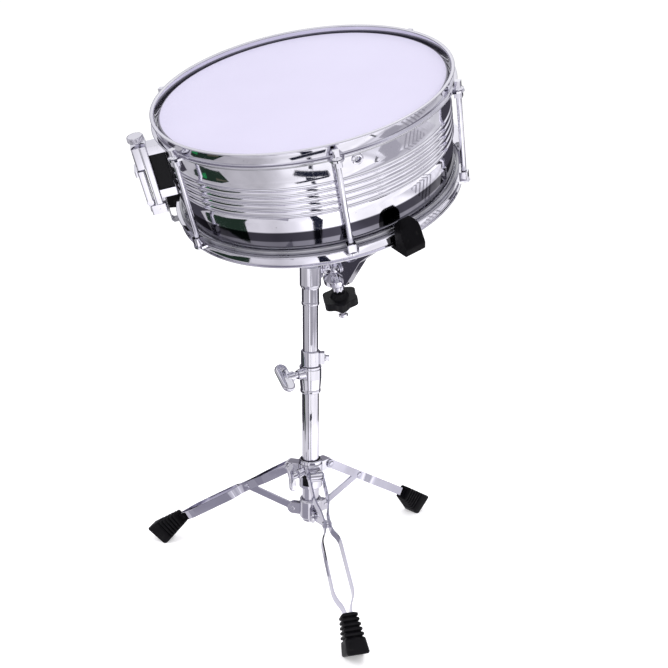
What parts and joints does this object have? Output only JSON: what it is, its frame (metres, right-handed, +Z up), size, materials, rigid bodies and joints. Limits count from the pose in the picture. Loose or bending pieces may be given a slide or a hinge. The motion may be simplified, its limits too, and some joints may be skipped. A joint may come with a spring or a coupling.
{
  "type": "snare drum on stand",
  "caption": "Shallow metal snare drum with a coated head, held by the clawed basket of a folding tripod stand with rubber feet.",
  "frame": {"origin": "on the floor, in the middle of the object's footprint seen from above", "axes": "+Z up; the drum leans towards -Y, and the tilter's hinge runs along X"},
  "size_m": [0.4474, 0.4419, 0.7378],
  "materials": {
    "chrome": "polished chrome plate",
    "steel": "plain zinc-plated steel",
    "rubber": "matt black moulded rubber",
    "nylon": "satin black nylon",
    "coated_film": "rough white sprayed coating on polyester film",
    "clear_film": "thin hazy polyester film",
    "strap": "clear polyester strap"
  },
  "bodies": {
    "base": {"lower_tube": "chrome", "strut_collar": "chrome", "height_clamp": "chrome", "clamp_bush": "nylon"},
    "leg_collar": {"leg_collar": "chrome", "leg_collar_bush": "nylon"},
    "leg_1": {"leg_1_strip_a": "chrome", "leg_1_strip_b": "chrome", "leg_1_foot": "rubber"},
    "strut_1": {"strut_1": "chrome"},
    "leg_2": {"leg_2_strip_a": "chrome", "leg_2_strip_b": "chrome", "leg_2_foot": "rubber"},
    "strut_2": {"strut_2": "chrome"},
    "leg_3": {"leg_3_strip_a": "chrome", "leg_3_strip_b": "chrome", "leg_3_foot": "rubber"},
    "strut_3": {"strut_3": "chrome"},
    "leg_wing_bolt": {"leg_wing_bolt": "chrome"},
    "height_wing_bolt": {"height_wing_bolt": "chrome"},
    "mast": {"upper_tube": "chrome", "tilter_socket": "chrome", "memory_lock": "chrome", "memory_lock_bolt": "chrome"},
    "tilter": {"tilt_arm": "chrome", "basket_hub": "chrome", "basket_stud": "steel"},
    "tilter_wing_bolt": {"tilter_wing_bolt": "chrome"},
    "basket_carriage": {"basket_carriage": "chrome"},
    "basket_knob": {"basket_knob": "nylon"},
    "basket_arm_1": {"basket_arm_1": "chrome", "basket_claw_1": "rubber"},
    "basket_arm_2": {"basket_arm_2": "chrome", "basket_claw_2": "rubber"},
    "basket_arm_3": {"basket_arm_3": "chrome", "basket_claw_3": "rubber"},
    "drum": {"shell": "chrome", "vent_grommet": "chrome", "batter_head": "coated_film", "snare_head": "clear_film", "batter_flesh_hoop": "steel", "snare_flesh_hoop": "steel", "batter_hoop": "chrome", "snare_hoop": "chrome", "butt_plate": "chrome", "strainer_body": "chrome", "strainer_spacer": "nylon"},
    "tension_rod_1": {"tension_rod_1": "chrome"},
    "tension_rod_2": {"tension_rod_2": "chrome"},
    "tension_rod_3": {"tension_rod_3": "chrome"},
    "tension_rod_4": {"tension_rod_4": "chrome"},
    "tension_rod_5": {"tension_rod_5": "chrome"},
    "tension_rod_6": {"tension_rod_6": "chrome"},
    "strainer_lever": {"strainer_lever": "chrome"},
    "strainer_knob": {"strainer_knob": "chrome"},
    "strainer_slider": {"strainer_slider": "chrome", "strainer_strap": "strap"},
    "snare_wires": {"snare_wires": "steel", "butt_strap": "strap"}
  },
  "joints": [
    {"name": "leg_collar_slide", "type": "slide", "parent": "base", "child": "leg_collar", "axis": [0, 0, 1], "range_m": [0, 0.0785]},
    {"name": "leg_1_pivot", "type": "hinge", "parent": "leg_collar", "child": "leg_1", "pos_m": [-0.00458, -0.01724, 0.1445], "axis": [0.1212, -0.9926, 0], "range_deg": [0, 43.6]},
    {"name": "strut_1_pivot", "type": "hinge", "parent": "base", "child": "strut_1", "pos_m": [0.00038, -0.01663, 0.0815], "axis": [-0.1212, 0.9926, 0], "range_deg": [0, 51.6]},
    {"name": "leg_2_pivot", "type": "hinge", "parent": "leg_collar", "child": "leg_2", "pos_m": [0.04324, -0.03757, 0.1445], "axis": [0.7991, 0.6013, 0], "range_deg": [0, 43.6]},
    {"name": "strut_2_pivot", "type": "hinge", "parent": "base", "child": "strut_2", "pos_m": [0.04023, -0.03358, 0.0815], "axis": [-0.7991, -0.6013, 0], "range_deg": [0, 51.6]},
    {"name": "leg_3_pivot", "type": "hinge", "parent": "leg_collar", "child": "leg_3", "pos_m": [0.03694, 0.01401, 0.1445], "axis": [-0.9202, 0.3914, 0], "range_deg": [0, 43.6]},
    {"name": "strut_3_pivot", "type": "hinge", "parent": "base", "child": "strut_3", "pos_m": [0.03498, 0.00941, 0.0815], "axis": [0.9202, -0.3914, 0], "range_deg": [0, 51.6]},
    {"name": "leg_wing_bolt_turn", "type": "hinge", "parent": "leg_collar", "child": "leg_wing_bolt", "pos_m": [0.01569, -0.03596, 0.142], "axis": [-0.3914, -0.9202, 0], "range_deg": [-270, 0]},
    {"name": "height_wing_bolt_turn", "type": "hinge", "parent": "base", "child": "height_wing_bolt", "pos_m": [0.0145, -0.03373, 0.285], "axis": [-0.4695, -0.8829, 0], "range_deg": [-270, 0]},
    {"name": "mast_slide", "type": "slide", "parent": "base", "child": "mast", "axis": [0, 0, 1], "range_m": [0, 0.11]},
    {"name": "tilt_hinge", "type": "hinge", "parent": "mast", "child": "tilter", "pos_m": [0.0252, 0.0264, 0.4245], "axis": [1, 0, 0], "range_deg": [-35, 20]},
    {"name": "tilter_wing_bolt_turn", "type": "hinge", "parent": "tilter", "child": "tilter_wing_bolt", "pos_m": [0.0252, 0.0264, 0.4245], "axis": [-1, 0, 0], "range_deg": [-270, 0]},
    {"name": "basket_carriage_slide", "type": "slide", "parent": "tilter", "child": "basket_carriage", "axis": [0, -0.4163, 0.9092], "range_m": [-0.005, 0]},
    {"name": "basket_knob_turn", "type": "hinge", "parent": "basket_carriage", "child": "basket_knob", "pos_m": [0.0252, 0.09005, 0.3687], "axis": [0, -0.4163, 0.9092], "range_deg": [-1440, 0]},
    {"name": "basket_arm_1_pivot", "type": "hinge", "parent": "tilter", "child": "basket_arm_1", "pos_m": [0.04454, 0.05091, 0.42007], "axis": [0.592, 0.7328, 0.3355], "range_deg": [0, 11.1]},
    {"name": "basket_arm_2_pivot", "type": "hinge", "parent": "tilter", "child": "basket_arm_2", "pos_m": [0.0299, 0.08523, 0.43578], "axis": [-0.9806, 0.1782, 0.0816], "range_deg": [0, 11.1]},
    {"name": "basket_arm_3_pivot", "type": "hinge", "parent": "tilter", "child": "basket_arm_3", "pos_m": [0.00188, 0.05866, 0.42362], "axis": [0.2368, -0.8834, -0.4044], "range_deg": [0, 11.1]},
    {"name": "drum_lift", "type": "slide", "parent": "tilter", "child": "drum", "axis": [0, -0.4163, 0.9092], "range_m": [0, 0.12]},
    {"name": "tension_rod_1_turn", "type": "hinge", "parent": "drum", "child": "tension_rod_1", "pos_m": [0.21636, -0.00327, 0.59983], "axis": [0, -0.4163, 0.9092], "continuous": true},
    {"name": "tension_rod_2_turn", "type": "hinge", "parent": "drum", "child": "tension_rod_2", "pos_m": [0.11095, 0.14209, 0.66638], "axis": [0, -0.4163, 0.9092], "continuous": true},
    {"name": "tension_rod_3_turn", "type": "hinge", "parent": "drum", "child": "tension_rod_3", "pos_m": [-0.08022, 0.13176, 0.66165], "axis": [0, -0.4163, 0.9092], "continuous": true},
    {"name": "tension_rod_4_turn", "type": "hinge", "parent": "drum", "child": "tension_rod_4", "pos_m": [-0.16596, -0.02393, 0.59037], "axis": [0, -0.4163, 0.9092], "continuous": true},
    {"name": "tension_rod_5_turn", "type": "hinge", "parent": "drum", "child": "tension_rod_5", "pos_m": [-0.06055, -0.16929, 0.52382], "axis": [0, -0.4163, 0.9092], "continuous": true},
    {"name": "tension_rod_6_turn", "type": "hinge", "parent": "drum", "child": "tension_rod_6", "pos_m": [0.13062, -0.15896, 0.52855], "axis": [0, -0.4163, 0.9092], "continuous": true},
    {"name": "strainer_knob_turn", "type": "hinge", "parent": "drum", "child": "strainer_knob", "pos_m": [-0.14887, -0.13648, 0.58778], "axis": [0, -0.4163, 0.9092], "continuous": true},
    {"name": "strainer_lever_turn", "type": "hinge", "parent": "drum", "child": "strainer_lever", "pos_m": [-0.15304, -0.10797, 0.5189], "axis": [0.5505, -0.7591, -0.3475], "range_deg": [0, 90]},
    {"name": "strainer_slider_slide", "type": "slide", "parent": "drum", "child": "strainer_slider", "axis": [0, 0.4163, -0.9092], "range_m": [0, 0.0026]},
    {"name": "snare_wires_drop", "type": "hinge", "parent": "drum", "child": "snare_wires", "pos_m": [0.18382, 0.10906, 0.57845], "axis": [0.5505, -0.7591, -0.3475], "range_deg": [0, 0.45]}
  ],
  "couplings": [
    {"joint": "leg_1_pivot", "follows": "leg_collar_slide", "rad_per_m": 9.672},
    {"joint": "strut_1_pivot", "follows": "leg_collar_slide", "rad_per_m": 11.45},
    {"joint": "leg_2_pivot", "follows": "leg_collar_slide", "rad_per_m": 9.672},
    {"joint": "strut_2_pivot", "follows": "leg_collar_slide", "rad_per_m": 11.45},
    {"joint": "leg_3_pivot", "follows": "leg_collar_slide", "rad_per_m": 9.672},
    {"joint": "strut_3_pivot", "follows": "leg_collar_slide", "rad_per_m": 11.45},
    {"joint": "basket_knob_turn", "follows": "basket_carriage_slide", "rad_per_m": 5026},
    {"joint": "basket_arm_1_pivot", "follows": "basket_carriage_slide", "rad_per_m": -38.5},
    {"joint": "basket_arm_2_pivot", "follows": "basket_carriage_slide", "rad_per_m": -38.5},
    {"joint": "basket_arm_3_pivot", "follows": "basket_carriage_slide", "rad_per_m": -38.5},
    {"joint": "strainer_slider_slide", "follows": "strainer_lever_turn", "m_per_rad": 0.00159},
    {"joint": "snare_wires_drop", "follows": "strainer_lever_turn", "ratio": 0.0048}
  ]
}
